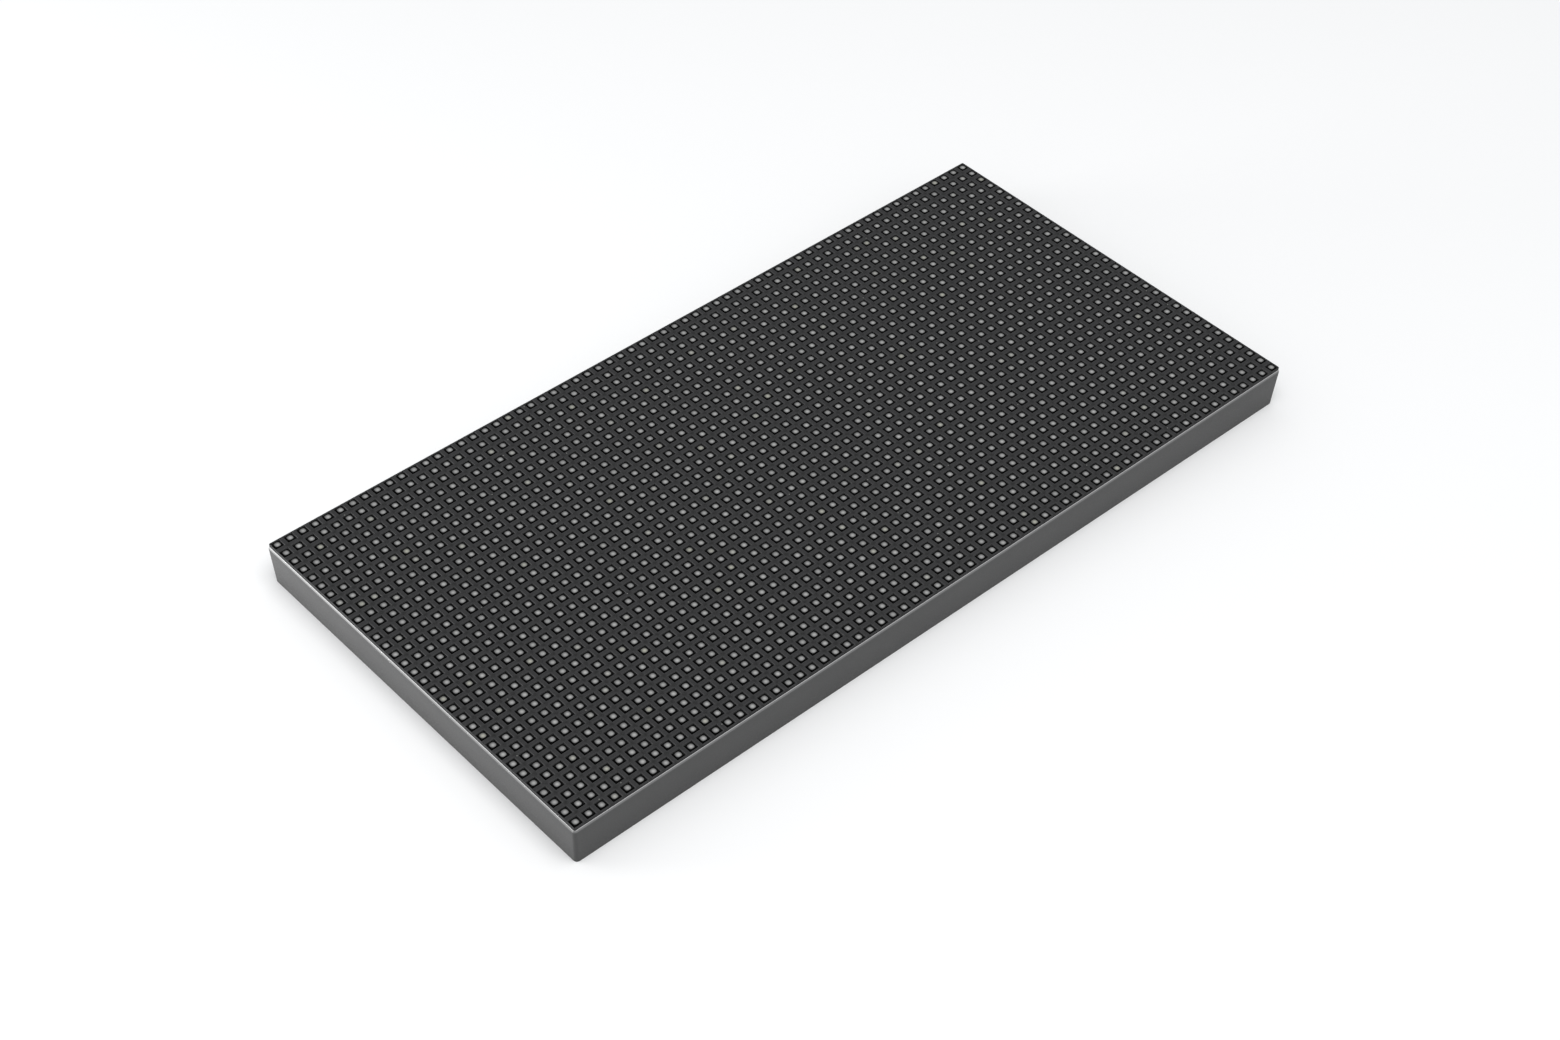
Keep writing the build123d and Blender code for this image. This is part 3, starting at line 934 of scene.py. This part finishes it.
# Resistor arrays: four ceramic blocks beside the data input, each with four resistors
# under one black glaze, and eight tinned ends soldered to the board.
array_spacing = 8
array_end_spacing = 0.8
array_spots = [(-88, (n - 1.5) * array_spacing) for n in range(4)]
array_body = block(
    "resistor_array_bodies", (-1.6 * mm, -0.8 * mm, board_back - 0.55 * mm),
    (1.6 * mm, 0.8 * mm, board_back), 0.05 * mm,
)
arrays = set_out(array_body, array_spots, 90)
mount(arrays, "resistor_glaze", "resistor_arrays")
array_ends = []
for n in range(4):
    for side in (-1, 1):
        middle = (n - 1.5) * array_end_spacing * mm
        ends = span(side, 0.5 * mm, 0.82 * mm)
        array_ends.append(block(
            "resistor_array_ends", (middle - 0.22 * mm, ends[0], board_back - 0.57 * mm),
            (middle + 0.22 * mm, ends[1], board_back), 0.04 * mm,
        ))
        feet = span(side, 0.7 * mm, 1.2 * mm)
        array_ends.append(solder_pad(
            "array_foot", middle - 0.25 * mm, middle + 0.25 * mm, feet[0], feet[1], 0.15 * mm
        ))
array_ends = set_out(join(*array_ends), array_spots, 90)
mount(array_ends, "pin_tin")
bright_tin.paint(array_ends)
black_glaze.paint(arrays)

# Electrolytic capacitors: two drawn aluminium cans with a rolled groove and a scored
# vent, each on a black plastic base with two cut corners and a tinned tab at either end.
can_spacing = 48
can_spots = [(-can_spacing / 2, 0), (can_spacing / 2, 0)]
can_foot = 9.6 * mm
can_top = 2.2 * mm
can = lathe(
    "drawn_cans",
    [
        (4.0 * mm, can_foot),
        (4.0 * mm, 8.7 * mm),
        (3.8 * mm, 8.55 * mm),
        (3.72 * mm, 8.4 * mm),
        (3.8 * mm, 8.25 * mm),
        (4.0 * mm, 8.1 * mm),
        (4.0 * mm, 2.75 * mm),
        (3.9 * mm, 2.42 * mm),
        (3.75 * mm, 2.27 * mm),
        (3.5 * mm, can_top),
    ],
    48,
)
score = 0.12 * mm
score_reach = 2.8 * mm
score_depth = 0.12 * mm
score_floor = can_top + score_depth
cut(
    can,
    block("score_x", (-score_reach, -score, 0), (score_reach, score, score_floor), 0),
    block("score_y", (-score, -score_reach, 0), (score, score_reach, score_floor), 0),
)
cans = set_out(can, can_spots)
mount(cans, "can_aluminium", "capacitor_cans")
tabs = []
for side in (-1, 1):
    ends = span(side, 3.6 * mm, 4.9 * mm)
    tabs.append(block(
        "capacitor_tabs", (ends[0], -0.4 * mm, board_back - 0.25 * mm),
        (ends[1], 0.4 * mm, board_back), 0.06 * mm,
    ))
    feet = span(side, 4.0 * mm, 5.3 * mm)
    tabs.append(solder_pad("tab_foot", feet[0], feet[1], -0.7 * mm, 0.7 * mm, 0.15 * mm))
tabs = set_out(join(*tabs), can_spots)
mount(tabs, "pin_tin")
bright_tin.paint(tabs)
can_bases = moulded_copy("capacitor_bases", "header_plastic", edge=0.12 * mm)
black_polyester.paint(can_bases)
drawn_aluminium = Finish("drawn_aluminium", {"Metallic": 1.0})
place = drawn_aluminium.place()
x, y, z = drawn_aluminium.axes(place)
from_can = ((x / (can_spacing * mm) + 1).fraction() - 0.5) * can_spacing * mm
inked = (from_can < -1.6 * mm) * (z < can_top + 0.05 * mm)
draw_lines = drawn_aluminium.noise(
    drawn_aluminium.node("ShaderNodeCombineXYZ", {}, {0: x * 0.1, 1: y * 0.1, 2: z}), 0.12 * mm, 3
)
metal = drawn_aluminium.mix(draw_lines, (0.58, 0.59, 0.6, 1), (0.72, 0.73, 0.74, 1))
drawn_aluminium.feed("Base Color", drawn_aluminium.mix(inked, metal, grey(0.01)))
drawn_aluminium.feed("Metallic", 1 - inked)
drawn_aluminium.feed("Roughness", draw_lines.ramp(0.3, 0.7, 0.24, 0.36) + inked * 0.15)
drawn_aluminium.paint(cans)


# Ink outlines: thin white lines screen-printed on the board's back round the chips, the
# headers and the cans, to show where each one sits.
line_width = 0.18 * mm
ink_proud = 0.012 * mm
ink_thickness = 0.014 * mm


def ink_outline(name, length, width, spots, turn=0):
    """A printed rectangle of white line, length by width in mm, at each spot."""
    line = sheet(name, (0, 0, board_back - ink_proud), length * mm, width * mm)
    shape(line)
    bpy.ops.mesh.select_mode(type="FACE")
    bpy.ops.mesh.select_all(action="SELECT")
    bpy.ops.mesh.inset(thickness=line_width)
    bpy.ops.mesh.delete(type="FACE")
    modify(line, "SOLIDIFY", thickness=ink_thickness, offset=1)
    return set_out(line, spots, turn)


ink = join(
    ink_outline("ink_outlines", 9.4, 7.4, driver_spots),
    ink_outline("buffer_ink", 13.6, 11.0, buffer_spots, turn=90),
    ink_outline("decoder_ink", 10.7, 7.4, decoder_spots, turn=90),
    ink_outline("switch_ink", 5.7, 7.4, switch_spots, turn=90),
    ink_outline("header_ink", 12.2, 29.2, [(-header_x, 0), (header_x, 0)]),
    ink_outline("power_ink", 17.4, 9.6, [(0, 0)]),
    ink_outline("can_ink", 11.4, 9.4, can_spots),
)
mount(ink, "board_laminate")
white_ink = wandering(
    "white_ink", (0.5, 0.5, 0.48), (0.64, 0.64, 0.62),
    lump=0.6 * mm, rough=0.6, grain_height=0.004 * mm, constants={},
)
white_ink.paint(ink)

# Floor: a plain pale studio table, matt all over, that the panel lies on.
# It's no part of the panel.
deselect()
bpy.ops.mesh.primitive_plane_add(size=6, location=(0, 0, 0))
floor = bpy.context.object
floor.name = "pale_floor"
pale_table = Finish("pale_table", {"Roughness": 0.9, "Specular IOR Level": 0.1})
cloud = pale_table.noise(pale_table.place(), 0.4)
pale_table.feed("Base Color", pale_table.mix(cloud, grey(0.93), grey(0.95)))
pale_table.paint(floor)
